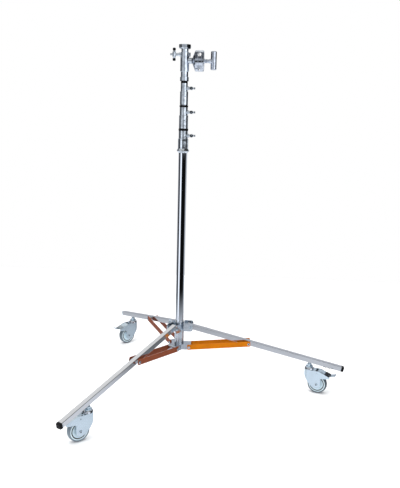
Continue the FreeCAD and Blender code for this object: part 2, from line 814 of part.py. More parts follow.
def collar_liner(level):
    """Black liner of a collar, with the rim that shows above it."""
    bore = riser_radii[level] + running_gap
    wall = riser_radii[level] + liner_wall
    step = collar_steps_z[level]
    top = collar_tops_z[level]
    rim = rim_radii[level]
    rim_top = top + rim_height - face_gap
    body = upright([(bore, step), (wall, step), (wall, top), (rim - collar_edge / 2, top),
                    (rim, top + collar_edge / 2),
                    (rim, rim_top - collar_edge), (rim - collar_edge, rim_top), (bore, rim_top)])
    return body.cut(cylinder(knob_shank_radius + side_gap, V(0, 0, knob_height(level)),
                             V(2 * rim, 0, knob_height(level))))


# Head

def octagon_cap():
    apothem = cap_across_flats / 2
    corner = apothem / math.cos(math.pi / cap_sides)
    points = [V(corner * math.cos(math.pi * (2 * i + 1) / cap_sides),
                corner * math.sin(math.pi * (2 * i + 1) / cap_sides),
                head_neck_top_z) for i in range(cap_sides)]
    block = Part.Face(Part.makePolygon(points + [points[0]])).extrude(V(0, 0, head_top_z - head_neck_top_z))
    turning = upright([(0, head_neck_top_z), (corner - cap_chamfer, head_neck_top_z),
                       (corner, head_neck_top_z + cap_chamfer),
                       (corner, head_top_z - cap_top_chamfer), (corner - cap_top_chamfer, head_top_z),
                       (0, head_top_z)])
    return block.common(turning)


def head_body():
    profile = [(0, head_bottom_z), (head_ring_radius - collar_edge, head_bottom_z),
               (head_ring_radius, head_bottom_z + collar_edge),
               (head_ring_radius, head_ring_top_z - collar_edge), (head_waist_radius, head_ring_top_z),
               (head_waist_radius, head_waist_top_z - collar_edge), (head_barrel_radius, head_waist_top_z),
               (head_barrel_radius, head_barrel_top_z - collar_edge),
               (head_shoulder_radius, head_barrel_top_z),
               (head_shoulder_radius, head_shoulder_top_z - collar_edge),
               (head_neck_radius, head_shoulder_top_z),
               (head_neck_radius, head_neck_top_z), (0, head_neck_top_z)]
    boss_end = head_shoulder_radius + receiver_boss_reach
    knob_boss = cylinder(knob_boss_radius, V(-boss_end, 0, receiver_knob_z), V(0, 0, receiver_knob_z))
    grip_boss = cylinder(grip_boss_radius, V(0, 0, grip_z), V(grip_boss_end, 0, grip_z))
    brow = cylinder(knob_boss_radius, V(0, 0, receiver_knob_z),
                    V(grip_boss_end - knob_boss_reach, 0, receiver_knob_z))
    body = fuse_all([upright(profile), octagon_cap(), knob_boss, grip_boss, brow])
    receiver_floor = head_top_z - receiver_depth
    lead = upright([(0, head_top_z - receiver_lead), (receiver_radius, head_top_z - receiver_lead),
                    (receiver_radius + receiver_lead, head_top_z), (0, head_top_z)])
    body = body.cut(cylinder(receiver_radius, V(0, 0, receiver_floor),
                             V(0, 0, head_top_z + overrun))).cut(lead)
    body = body.cut(cylinder(riser_radii[2], V(0, 0, head_bottom_z - overrun),
                             V(0, 0, head_bottom_z + socket_depth)))
    body = body.cut(cylinder(knob_shank_radius + running_gap, V(-2 * boss_end, 0, receiver_knob_z),
                             V(0, 0, receiver_knob_z)))
    body = body.cut(cylinder(grip_screw_radius + running_gap, V(grip_screw_start - face_gap, 0, grip_z),
                             V(2 * grip_boss_end, 0, grip_z)))
    return body.cut(set_screw_rod(overrun))


def set_screw_rod(extra):
    middle = (head_bottom_z + head_ring_top_z) / 2
    return turned(cylinder(set_screw_radius, V(riser_radii[2], 0, middle),
                           V(head_ring_radius + extra, 0, middle)), set_screw_azimuth)


def receiver_knob():
    surface = head_shoulder_radius + receiver_boss_reach - knob_boss_reach
    knob = t_knob(receiver_radius + side_gap, surface, 0, receiver_bar_offset)
    return moved(turned(knob, 180), V(0, 0, receiver_knob_z))


# Grip head

def along_x(profile):
    """Turns a profile of (x, radius) about the grip head's screw axis."""
    shape = revolved([V(x, 0, r) for x, r in profile], ORIGIN, V(1, 0, 0))
    return moved(shape, V(0, 0, grip_z))


def rod_channels():
    """Two round channels along Y at the split between the discs, the large one with open mouths."""
    reach = 2 * grip_disc_radius
    rod_z = grip_z + rod_channel_lift
    cuts = [bar_across(rod_channel_radius, grip_split, rod_z, -reach, reach),
            bar_across(small_channel_radius, grip_split, grip_z - small_channel_drop, -reach, reach)]
    mouth_z = grip_z + rod_mouth_lift
    chord = math.sqrt(grip_disc_radius ** 2 - rod_mouth_lift ** 2)
    for y_low in (-chord - overrun, chord - rod_mouth_depth):
        cuts.append(Part.makeBox(grip_face + overrun - rod_mouth_start, rod_mouth_depth + overrun,
                                 rod_mouth_height,
                                 V(rod_mouth_start, y_low, mouth_z - rod_mouth_height / 2)))
    return cuts


def screw_hole(x_low, x_high):
    return cylinder(grip_screw_radius + running_gap, V(x_low - overrun, 0, grip_z),
                    V(x_high + overrun, 0, grip_z))


def grip_rear_disc():
    start = grip_boss_end + face_gap
    end = grip_split - side_gap
    disc = along_x([(start, 0), (start, grip_neck_radius), (start + grip_disc_edge, grip_neck_radius),
                    (grip_cone_end, grip_cone_radius), (grip_cone_end + grip_disc_edge, grip_disc_radius),
                    (end, grip_disc_radius), (end, 0)])
    for cut in rod_channels():
        disc = disc.cut(cut)
    return disc.cut(screw_hole(start, end))


def grip_front_disc():
    start = grip_split + side_gap
    disc = along_x([(start, 0), (start, grip_disc_radius), (grip_face - grip_disc_edge, grip_disc_radius),
                    (grip_face, grip_disc_radius - grip_disc_edge), (grip_face, 0)])
    for cut in rod_channels():
        disc = disc.cut(cut)
    return disc.cut(screw_hole(start, grip_face))


def grip_handle():
    washer = grip_face + face_gap
    shank = along_x([(grip_screw_start, 0), (grip_screw_start, grip_screw_radius),
                     (washer, grip_screw_radius),
                     (washer, handle_washer_radius),
                     (washer + handle_washer_thickness, handle_washer_radius),
                     (washer + handle_washer_thickness, handle_shank_radius),
                     (handle_flare_start, handle_shank_radius),
                     (handle_bar_start, handle_flare_radius),
                     (handle_bar_start + handle_bar_radius, handle_flare_radius),
                     (handle_bar_start + handle_bar_radius, 0)])
    half = handle_bar_length / 2
    middle = V(handle_bar_start + handle_bar_radius, 0, grip_z + handle_lift)
    bar = cylinder(handle_bar_radius, middle.sub(V(0, 0, half)), middle.add(V(0, 0, half)))
    bar = bar.makeFillet(handle_bar_round, [edge for edge in bar.Edges if edge.Closed])
    return fuse_all([shank, bar])


def build_nodes():
    nodes = {"base_column": [column()], "brace_casting": [brace_casting()],
             "brace_pivot_bolts": [turned(brace_pivot_bolt(), a) for a in leg_azimuths.values()],
             "leg_collar": [leg_collar()], "leg_collar_bush": [leg_collar_bush()],
             "leg_collar_knob": [collar_lock_knob()],
             "leg_pivot_bolts": [turned(leg_pivot_bolt(), a) for a in leg_azimuths.values()],
             "leg_pivot_spacers": [turned(tube, a) for tube in leg_pivot_spacers()
                                   for a in leg_azimuths.values()]}
    for name in leg_azimuths:
        nodes["leg_" + name] = [on_leg(leg_tube(), name)]
        nodes["leg_cap_" + name] = [on_leg(leg_cap(), name)]
        nodes["brace_" + name] = [on_brace(strap, name) for strap in brace_straps()]
        nodes["brace_bolts_" + name] = [on_brace(bolt, name) for bolt in brace_end_bolts()]
        leg_block = on_leg(square_bar(leg_width / 2, 0, leg_end_along, leg_corner), name)
        nodes["caster_stem_" + name] = [on_caster(caster_stem(), name).cut(leg_block)]
        nodes["caster_fork_" + name] = [on_caster(fork(name in braked), name)]
        nodes["caster_axle_" + name] = [on_caster(axle(), name)]
        nodes["wheel_hub_" + name] = [on_caster(wheel_hub(), name)]
        nodes["wheel_tyre_" + name] = [on_caster(wheel_tyre(), name)]
        if name in braked:
            nodes["brake_pedal_" + name] = [on_caster(brake_pedal(), name)]
            nodes["pedal_pin_" + name] = [on_caster(pedal_pin(), name)]
    carriers = ("base", "riser_1", "riser_2")
    for level in range(3):
        nodes[carriers[level] + "_collar"] = [riser_collar(level)]
        nodes[carriers[level] + "_collar_liner"] = [collar_liner(level)]
        nodes[carriers[level] + "_knob"] = [riser_knob(level)]
        nodes["riser_%d" % (level + 1)] = [riser(level)]
        nodes["riser_%d_guide" % (level + 1)] = [riser_guide(level)]
    nodes["head_body"] = [head_body()]
    nodes["head_set_screw"] = [set_screw_rod(0)]
    nodes["receiver_knob"] = [receiver_knob()]
    nodes["grip_rear_disc"] = [grip_rear_disc()]
    nodes["grip_front_disc"] = [grip_front_disc()]
    nodes["grip_handle"] = [grip_handle()]
    return nodes


def to_base_center(nodes):
    """Moves everything so that the origin is the middle of the footprint, at the floor."""
    every_shape = [shape for shapes in nodes.values() for shape in shapes]
    box = Part.makeCompound(every_shape).optimalBoundingBox(False)
    offset = V(-(box.XMin + box.XMax) / 2, -(box.YMin + box.YMax) / 2, -box.ZMin)
    return {name: [moved(shape, offset) for shape in shapes] for name, shapes in nodes.items()}, offset


nodes, mast_offset = to_base_center(build_nodes())
os.makedirs("parts", exist_ok=True)
for name, shapes in nodes.items():
    whole = shapes[0] if len(shapes) == 1 else Part.makeCompound(shapes)
    if not whole.isValid():
        print("not valid:", name)
    whole.exportStep("parts/" + name + ".step")
print(len(nodes), "nodes; mast axis at", [round(value, 3) for value in mast_offset])
print("riser travels", riser_travels, "pedal press", pedal_press)
print("grip opening", grip_opening, "in", grip_opening / grip_screw_pitch, "turns of the handle")
print("collar travel %.1f, leg turn %.2f, brace turn %.2f" % (fold_travel, leg_turn, brace_turn))
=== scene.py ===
import bmesh
import bpy
import json
import math
from mathutils import Matrix, Vector


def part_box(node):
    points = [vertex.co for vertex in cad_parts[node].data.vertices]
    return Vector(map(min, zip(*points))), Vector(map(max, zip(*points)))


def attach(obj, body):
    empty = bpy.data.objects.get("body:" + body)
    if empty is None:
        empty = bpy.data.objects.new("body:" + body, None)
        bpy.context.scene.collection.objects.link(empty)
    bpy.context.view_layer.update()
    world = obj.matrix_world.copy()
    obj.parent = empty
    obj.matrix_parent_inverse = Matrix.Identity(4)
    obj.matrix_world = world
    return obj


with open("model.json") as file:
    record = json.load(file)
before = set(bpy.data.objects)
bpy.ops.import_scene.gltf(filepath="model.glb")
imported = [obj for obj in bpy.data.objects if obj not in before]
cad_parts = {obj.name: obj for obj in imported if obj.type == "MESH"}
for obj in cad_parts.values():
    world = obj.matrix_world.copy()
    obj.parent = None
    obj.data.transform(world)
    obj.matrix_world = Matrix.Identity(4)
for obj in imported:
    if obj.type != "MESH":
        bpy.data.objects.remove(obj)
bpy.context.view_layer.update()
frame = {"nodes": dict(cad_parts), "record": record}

# Roller stand: looks, light and camera. Metres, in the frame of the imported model.

MM = 0.001
UP = Vector((0, 0, 1))
legs = ("right", "rear", "front")
braked = ("right", "rear")

# Each collar: its body, its wide and its narrow radius, and the height of the step between them
collars = {
    "base": ("column", 25.0 * MM, 22.5 * MM, 1280.0 * MM),
    "riser_1": ("riser_1", 22.0 * MM, 19.5 * MM, 1391.0 * MM),
    "riser_2": ("riser_2", 19.5 * MM, 16.8 * MM, 1503.0 * MM),
}


def center(node):
    low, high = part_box(node)
    return (Vector(low) + Vector(high)) / 2


mast = center("base_column")
mast_x, mast_y = mast.x, mast.y
grip_z = center("grip_front_disc").z

# Materials

even = (1, 1, 1)  # A stretch that leaves a texture as it is


def new_material(name):
    material = bpy.data.materials.new(name)
    material.use_nodes = True
    return material, material.node_tree.nodes, material.node_tree.links


def shader_of(nodes):
    return nodes["Principled BSDF"]


def stretched_noise(nodes, links, scale, stretch=even, detail=4.0):
    """A noise texture in object space, stretched by a share on each axis."""
    coordinates = nodes.new("ShaderNodeTexCoord")
    mapping = nodes.new("ShaderNodeMapping")
    mapping.inputs["Scale"].default_value = stretch
    noise = nodes.new("ShaderNodeTexNoise")
    noise.inputs["Scale"].default_value = scale
    noise.inputs["Detail"].default_value = detail
    links.new(coordinates.outputs["Object"], mapping.inputs["Vector"])
    links.new(mapping.outputs["Vector"], noise.inputs["Vector"])
    return noise.outputs["Fac"]


def ramp(nodes, links, source, stops):
    """A colour ramp through (position, colour) stops."""
    node = nodes.new("ShaderNodeValToRGB")
    elements = node.color_ramp.elements
    while len(elements) < len(stops):
        elements.new(0.5)
    for element, (position, color) in zip(elements, stops):
        element.position = position
        element.color = (*color, 1)
    links.new(source, node.inputs["Fac"])
    return node.outputs["Color"]


def spread(nodes, links, source, low, high):
    """Maps a 0 to 1 value to the range from low to high."""
    node = nodes.new("ShaderNodeMapRange")
    node.inputs["To Min"].default_value = low
    node.inputs["To Max"].default_value = high
    links.new(source, node.inputs["Value"])
    return node.outputs["Result"]


def smooth_step(nodes, links, source, start, end):
    """Goes smoothly from 0 to 1 as a value goes from start to end."""
    node = nodes.new("ShaderNodeMapRange")
    node.interpolation_type = "SMOOTHSTEP"
    node.inputs["From Min"].default_value = start
    node.inputs["From Max"].default_value = end
    links.new(source, node.inputs["Value"])
    return node


def color_mix(nodes, links, factor, first, second):
    """Mixes two colours, each a tuple or a socket, by the factor's socket."""
    mix = nodes.new("ShaderNodeMix")
    mix.data_type = "RGBA"
    links.new(factor, mix.inputs["Factor"])
    for look, socket_name in ((first, "A"), (second, "B")):
        if isinstance(look, tuple):
            mix.inputs[socket_name].default_value = (*look, 1)
        else:
            links.new(look, mix.inputs[socket_name])
    return mix


def bump(nodes, links, height, strength, distance, under=None):
    """A bump from a height, on top of another bump where one is given."""
    node = nodes.new("ShaderNodeBump")
    if under:
        links.new(under, node.inputs["Normal"])
    node.inputs["Strength"].default_value = strength
    node.inputs["Distance"].default_value = distance
    links.new(height, node.inputs["Height"])
    return node.outputs["Normal"]


def shaded(color, share, limit=1.0):
    """A colour times a share, with each channel held under the limit."""
    return tuple(min(limit, c * share) for c in color)


def metal(name, color, roughness, grain, dents, stretch=even, tint=0.90, patches=15.0, edge=(0.3, 0.7),
          swell=0.0):
    """Bare or plated metal: tinted patches, grain in the roughness, and a shallow bump over slow swells."""
    material, nodes, links = new_material(name)
    shader = shader_of(nodes)
    shader.inputs["Metallic"].default_value = 1.0
    clouds = stretched_noise(nodes, links, patches, stretch)
    fine = stretched_noise(nodes, links, grain, stretch, detail=8.0)
    stops = [(edge[0], shaded(color, tint)), (edge[1], color)]
    links.new(ramp(nodes, links, clouds, stops), shader.inputs["Base Color"])
    links.new(spread(nodes, links, fine, roughness * 0.7, roughness * 1.4), shader.inputs["Roughness"])
    under = bump(nodes, links, clouds, 1.0, swell) if swell else None
    links.new(bump(nodes, links, fine, dents, 0.2 * MM, under), shader.inputs["Normal"])
    return material


def paint(name, color, worn):
    """Gloss paint with orange peel, dust and small chips that show a darker primer."""
    material, nodes, links = new_material(name)
    shader = shader_of(nodes)
    shader.inputs["Coat Weight"].default_value = 0.03
    shader.inputs["Coat Roughness"].default_value = 0.25
    shader.inputs["Specular IOR Level"].default_value = 0.08
    clouds = stretched_noise(nodes, links, 22.0)
    chips = stretched_noise(nodes, links, 260.0, detail=6.0)
    base = ramp(nodes, links, clouds, [(0.35, shaded(color, 0.86)), (0.65, color)])
    chipped = ramp(nodes, links, chips, [(0.70, (0, 0, 0)), (0.74, (1, 1, 1))])
    mix = color_mix(nodes, links, chipped, base, worn)
    links.new(mix.outputs["Result"], shader.inputs["Base Color"])
    links.new(spread(nodes, links, clouds, 0.28, 0.42), shader.inputs["Roughness"])
    links.new(bump(nodes, links, chips, 0.10, 0.1 * MM), shader.inputs["Normal"])
    return material


def plastic(name, color, roughness, grain=900.0, dents=0.15, specular=0.5):
    """Moulded plastic or rubber: slow colour clouds and a fine moulded grain."""
    material, nodes, links = new_material(name)
    shader = shader_of(nodes)
    shader.inputs["Specular IOR Level"].default_value = specular
    clouds = stretched_noise(nodes, links, 30.0)
    fine = stretched_noise(nodes, links, grain, detail=3.0)
    stops = [(0.3, shaded(color, 0.8)), (0.7, color)]
    links.new(ramp(nodes, links, clouds, stops), shader.inputs["Base Color"])
    links.new(spread(nodes, links, fine, roughness * 0.85, roughness * 1.15), shader.inputs["Roughness"])
    links.new(bump(nodes, links, fine, dents, 0.1 * MM), shader.inputs["Normal"])
    return material


def casting(name, color, roughness, tint, patches, swell):
    """Plated casting with clear patches and slow swells."""
    return metal(name, color, roughness, 75.0, 0.35, even, tint, patches, (0.38, 0.54), swell)


def rubber(name, color, roughness, grain=700.0, specular=0.5):
    """Rubber, with deeper dents than hard plastic."""
    return plastic(name, color, roughness, grain, 0.25, specular)


chrome = metal("chrome_tube", (0.82, 0.86, 0.91), 0.03, 90.0, 0.01, stretch=(1, 1, 0.08))
leg_steel = metal("leg_steel", (0.70, 0.71, 0.73), 0.10, 120.0, 0.03, stretch=(0.3, 0.3, 1))
cast = casting("cast_chrome", (0.81, 0.87, 0.92), 0.07, 0.70, 60.0, 0.3 * MM)
alloy = casting("cast_alloy", (0.75, 0.80, 0.87), 0.13, 0.60, 45.0, 0.5 * MM)
dull_cast = metal("dull_cast", (0.66, 0.70, 0.75), 0.22, 75.0, 0.35)
collar_cast = metal("collar_cast", (0.75, 0.81, 0.87), 0.14, 75.0, 0.6)
zinc = metal("zinc_steel", (0.70, 0.81, 0.88), 0.20, 60.0, 0.02)
orange = paint("orange_paint", (0.54, 0.153, 0.0), (0.20, 0.09, 0.03))
# Painted shade: the orange brace paint as it looks in shade, for the rear and front braces
shaded_orange_paint = paint("brown_paint", (0.215, 0.055, 0.022), (0.08, 0.04, 0.03))
black_plastic = plastic("black_plastic", (0.006, 0.006, 0.007), 0.38, specular=0.12)
grey_plastic = plastic("grey_plastic", (0.66, 0.82, 0.90), 0.34)
pale_plastic = plastic("pale_plastic", (0.80, 0.92, 0.95), 0.32)
nylon = plastic("bearing_nylon", (0.55, 0.53, 0.48), 0.45)
dark_rubber = rubber("dark_rubber", (0.02, 0.021, 0.024), 0.55, specular=0.2)
worn_rubber = rubber("worn_rubber", (0.26, 0.29, 0.31), 0.50)
# Painted light and shade: one tyre rubber, darker on the right caster as painted shade, lighter on the front
# as painted light
tyre_colours_lit_and_shaded = {"right": (0.07, 0.095, 0.115), "rear": (0.14, 0.18, 0.21), "front": (0.19, 0.24, 0.28)}
tyre_rubbers_lit_and_shaded = {side: rubber("tyre_" + side, shade, 0.42, 600.0) for side, shade in tyre_colours_lit_and_shaded.items()}
cap_plastics = {"right": black_plastic, "rear": pale_plastic, "front": black_plastic}
pad_rubbers = {"right": dark_rubber, "rear": worn_rubber}
# Painted shade: the rear and front braces take the darker copy of the orange paint
brace_paints_lit_and_shaded = {"right": orange, "rear": shaded_orange_paint, "front": shaded_orange_paint}

dress = {
    "base_column": chrome, "brace_casting": dull_cast, "brace_pivot_bolts": zinc, "leg_collar": collar_cast,
    "leg_collar_bush": nylon, "leg_collar_knob": cast, "leg_pivot_bolts": zinc, "leg_pivot_spacers": zinc,
    "head_body": cast, "head_set_screw": zinc, "receiver_knob": cast, "grip_rear_disc": alloy,
    "grip_front_disc": alloy, "grip_handle": alloy,
}
for number, carrier in enumerate(collars, start=1):
    dress[carrier + "_collar"] = cast
    dress[carrier + "_collar_liner"] = black_plastic
    dress[carrier + "_knob"] = cast
    dress["riser_%d" % number] = chrome
    dress["riser_%d_guide" % number] = nylon
for side in legs:
    dress["leg_" + side] = leg_steel
    dress["leg_cap_" + side] = cap_plastics[side]
    dress["brace_" + side] = brace_paints_lit_and_shaded[side]
    dress["wheel_hub_" + side] = grey_plastic
    dress["wheel_tyre_" + side] = tyre_rubbers_lit_and_shaded[side]
    for part in ("brace_bolts_", "caster_stem_", "caster_fork_", "caster_axle_"):
        dress[part + side] = zinc
for side in braked:
    dress["brake_pedal_" + side] = zinc
    dress["pedal_pin_" + side] = zinc


def cover(node, material):
    for slot in frame["nodes"][node].material_slots:
        slot.material = material


for node, material in dress.items():
    cover(node, material)


def paint_shade(node, share, spans):
    """Painted shade: darkens a node's material copy where each span's coordinate goes from its start to its
    end.
    """
    origin = frame["nodes"][node].matrix_world.translation
    material = frame["nodes"][node].material_slots[0].material.copy()
    material.name = node + "_painted_shade"
    nodes, links = material.node_tree.nodes, material.node_tree.links
    target = shader_of(nodes).inputs["Base Color"]
    coordinates = nodes.new("ShaderNodeTexCoord")
    split = nodes.new("ShaderNodeSeparateXYZ")
    links.new(coordinates.outputs["Object"], split.inputs["Vector"])
    mask = None
    for axis, start, end in spans:
        shift = origin["XYZ".index(axis)]
        step = smooth_step(nodes, links, split.outputs[axis], start - shift, end - shift)
        if mask:
            links.new(mask, step.inputs["To Max"])
        mask = step.outputs["Result"]
    mix = color_mix(nodes, links, mask, target.links[0].from_socket, (share, share, share * 1.06))
    mix.blend_type = "MULTIPLY"
    links.new(mix.outputs["Result"], target)
    cover(node, material)


# Painted shade on the grip head: upper half of both grip discs, the rear disc's cone and the head body's brow
painted_shade_low = grip_z + 5.0 * MM
painted_shade_high = grip_z + 40.0 * MM
painted_shade_fade = 4.0 * MM
cone_end_x = mast_x + 50.0 * MM
cone_fade = 2.0 * MM
brow_x = mast_x + 20.3 * MM
brow_fade = 1.2 * MM
brow_z = grip_z + 9.0 * MM
upper_half = [("Z", painted_shade_low, painted_shade_low + painted_shade_fade),
              ("Z", painted_shade_high, painted_shade_high - painted_shade_fade)]
paint_shade("grip_front_disc", 0.26, upper_half)
paint_shade("grip_rear_disc", 0.26, upper_half)
paint_shade("grip_rear_disc", 0.50, [("X", cone_end_x, cone_end_x - cone_fade)])
paint_shade("head_body", 0.30, [("X", brow_x, brow_x + brow_fade), ("Z", brow_z, brow_z + painted_shade_fade)])

# Places: each frame's X axis and Z axis are those of the part that the small pieces sit on


def place(origin, along, up=UP):
    """A matrix at origin with X along, and Z as near to up as that allows."""
    x = Vector(along).normalized()
    y = up.cross(x).normalized()
    turn = Matrix((x, y, x.cross(y))).transposed().to_4x4()
    return Matrix.Translation(origin) @ turn


def facing(point, direction):
    """A place at point whose Z axis is the direction."""
    helper = Vector((1, 0, 0)) if abs(direction.z) > 0.9 else UP
    return place(point, helper.cross(direction), direction)


joints = {joint["name"]: joint for joint in frame["record"]["behaviour"]["joints"]}


def joint_place(name):
    return Vector(joints[name]["pos_m"])


def joint_axis(name):
    return Vector(joints[name]["axis"])


def caster_heading(side):
    return joint_axis("wheel_spin_" + side).cross(UP)


def on_swivel(side, out=0.0, across=0.0, high=0.0):
    """On the swivel's axis above the floor, with X along the heading, moved by the three distances."""
    swivel = joint_place("caster_swivel_" + side)
    return place((swivel.x, swivel.y, 0), caster_heading(side)) @ Matrix.Translation((out, across, high))


def on_wheel(side):
    """Z is the axle, X the heading."""
    return place(joint_place("wheel_spin_" + side), caster_heading(side), joint_axis("wheel_spin_" + side))


def sloping_down(heading, slope):
    return heading * math.cos(slope) - UP * math.sin(slope)


pedal_slope = math.radians(16)
leg_slope = math.radians(13.9)


def on_pedal(side):
    """At the pedal's pin, with X down along its plate."""
    return place(joint_place("brake_pedal_" + side), sloping_down(caster_heading(side), pedal_slope))


def on_leg(side):
    """At the leg's pivot, with X down along the leg."""
    pivot = joint_place("leg_hinge_" + side)
    outward = Vector((pivot.x - mast_x, pivot.y - mast_y, 0)).normalized()
    return place(pivot, sloping_down(outward, leg_slope))


# Mesh pieces

here = Matrix()
tip = 0.01  # Millimetres that the end of a turned form stays off its axis


def new_piece(name, mesh, at, material, body, crease=35):
    """Makes an object of a bmesh that was built in the place at, riding on a body."""
    data = bpy.data.meshes.new(name)
    bmesh.ops.transform(mesh, matrix=at, verts=mesh.verts)
    bmesh.ops.recalc_face_normals(mesh, faces=mesh.faces)
    mesh.to_mesh(data)
    mesh.free()
    data.polygons.foreach_set("use_smooth", [True] * len(data.polygons))
    data.set_sharp_from_angle(angle=math.radians(crease))
    for each in material if isinstance(material, list) else [material]:
        data.materials.append(each)
    piece = bpy.data.objects.new(name, data)
    bpy.context.collection.objects.link(piece)
    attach(piece, body)


def profile(radius, *points):
    """Points of a profile, from pairs in millimetres: how far beyond the radius, and how high."""
    return [(radius + outward * MM, height * MM) for outward, height in points]


def lathe(mesh, points, at, steps, index=0, wave=0.0, waves=0):
    """Turns (radius, height) points about Z; a wave varies the radius round the turn."""
    rings = []
    for i in range(steps):
        angle = 2 * math.pi * i / steps
        swell = 1 + wave * math.sin(waves * angle)
        ring = [Vector((r * swell * math.cos(angle), r * swell * math.sin(angle), z)) for r, z in points]
        rings.append([mesh.verts.new(at @ point) for point in ring])
    for ring, following in zip(rings, rings[1:] + rings[:1]):
        for j in range(len(points) - 1):
            face = mesh.faces.new((ring[j], following[j], following[j + 1], ring[j + 1]))
            face.material_index = index


def closed_lathe(mesh, points, at=here, steps=32, index=0, wave=0.0, waves=0):
    lathe(mesh, points + points[:1], at, steps, index, wave, waves)


def prism(mesh, points, low, high, at=here, index=0, bevel=0.0):
    """Raises a flat outline along Z, with its upper rim drawn in by a bevel."""
    flat = [Vector(point) for point in points]
    middle = sum(flat, Vector((0, 0))) / len(flat)
    levels = [[(x, y, low) for x, y in flat], [(x, y, high - bevel) for x, y in flat]]
    if bevel:
        inner = [middle + (p - middle) * (1 - bevel / max((p - middle).length, bevel)) for p in flat]
        levels.append([(x, y, high) for x, y in inner])
    rows = [[mesh.verts.new(at @ Vector(point)) for point in level] for level in levels]
    faces = [mesh.faces.new(rows[-1]), mesh.faces.new(list(reversed(rows[0])))]
    for row, above in zip(rows, rows[1:]):
        for j in range(len(flat)):
            k = (j + 1) % len(flat)
            faces.append(mesh.faces.new((row[j], row[k], above[k], above[j])))
    for face in faces:
        face.material_index = index


def polygon(sides, across):
    """A regular outline, of which across is the width over its flats."""
    radius = across / 2 / math.cos(math.pi / sides)
    angles = [2 * math.pi * i / sides for i in range(sides)]
    return [(radius * math.cos(angle), radius * math.sin(angle)) for angle in angles]


def rectangle(x_low, x_high, y_low, y_high):
    return [(x_low, y_low), (x_high, y_low), (x_high, y_high), (x_low, y_high)]


def rounded(x_low, x_high, half, corner, steps):
    """A rectangle that reaches half to both sides in Y, with each round corner in so many steps."""
    outline = []
    for quarter, (x, sign) in enumerate(((x_high, 1), (x_low, 1), (x_low, -1), (x_high, -1))):
        x += corner if x == x_low else -corner
        for step in range(steps + 1):
            angle = math.radians(90 * (quarter + step / steps))
            outline.append((x + corner * math.cos(angle), sign * (half - corner) + corner * math.sin(angle)))
    return outline


def thread(mesh, radius, depth, pitch, low, high, at=here, steps=20):
    """A V-shaped ridge that winds up a rod."""
    turns = (high - low) / pitch - 1
    ridge = ((radius, 0), (radius + depth, pitch / 2), (radius, pitch))
    rows = []
    for i in range(int(turns * steps) + 1):
        angle = 2 * math.pi * i / steps
        z = low + pitch * i / steps
        row = [Vector((r * math.cos(angle), r * math.sin(angle), z + height)) for r, height in ridge]
        rows.append([mesh.verts.new(at @ point) for point in row])
    for row, following in zip(rows, rows[1:]):
        for j in range(2):
            mesh.faces.new((row[j], following[j], following[j + 1], row[j + 1]))


def socket(name, at, across, body):
    """A hex socket in a screw head, facing +Z: a raised lip round a dark six-sided disc, painted shade for
    the recess.
    """
    mesh = bmesh.new()
    lip = 0.25 * MM
    outline = [(across * 0.62, 0), (across * 0.70, lip), (across * 0.86, lip), (across * 0.98, 0)]
    closed_lathe(mesh, outline, at, 24)
    prism(mesh, polygon(6, across), -lip, lip / 2, at, 1)
    new_piece(name, mesh, here, [zinc, dark_rubber], body)


# Casters

fork_half_width = 24.0 * MM
axle_head_height = 3.5 * MM
axle_socket_width = 6.6 * MM
crown_z = 122.5 * MM
race_radius = 23.0 * MM
race_height = 11.0 * MM
nut_top_above_race = 14.1 * MM
leg_underside_above_race = 22.0 * MM
stem_radius = 8.0 * MM
stem_thread_depth = 0.7 * MM
stem_pitch = 2.0 * MM
hub_groove_radius = 35.5 * MM
hub_half_width = 12.5 * MM
hub_groove_depth = 3.5 * MM
hub_rim_radius = 40.0 * MM
tread_half_width = 15.0 * MM
tread_crown = 4.0 * MM
tread_line_share = 0.45
tyre_radius = 50.8 * MM


def ball_race(side):
    """Bright flared skirt, dust seal and domed cover of the swivel; the seal is dark, partly its own colour,
    partly painted shade.
    """
    top = race_height / MM
    skirt = profile(race_radius, (0, 0), (1.1, 0.3), (0.3, 3.6), (0, 3.8))
    seal = profile(race_radius, (0, 3.9), (0.2, 4.1), (0.2, 5.0), (0, 5.2))
    dome = profile(race_radius, (0.1, 5.3), (0.4, 5.7), (-0.3, 7.4), (-1.7, 9.4), (-3.6, 10.9),
                   (-5.0, top + 0.6), (-5.2, top))
    mesh = bmesh.new()
    for points, index in ((skirt, 0), (seal, 1), (dome, 0)):
        closed_lathe(mesh, points, here, 64, index)
    at = on_swivel(side, high=crown_z)
    new_piece("ball_race_" + side, mesh, at, [chrome, dark_rubber], "caster_" + side, 30)


def stem_thread(side):
    """The thread that shows between the stem's nut and the leg."""
    mesh = bmesh.new()
    race_top = crown_z + race_height
    low, high = race_top + nut_top_above_race, race_top + leg_underside_above_race
    thread(mesh, stem_radius, stem_thread_depth, stem_pitch, low, high)
    new_piece("stem_thread_" + side, mesh, on_swivel(side), zinc, "leg_" + side, 20)


def axle_sockets(side):
    axle = joint_axis("wheel_spin_" + side)
    middle = joint_place("wheel_spin_" + side)
    for label, direction in (("a", axle), ("b", -axle)):
        at = facing(middle + direction * (fork_half_width + axle_head_height), direction)
        socket("axle_socket_%s_%s" % (side, label), at, axle_socket_width, "caster_" + side)


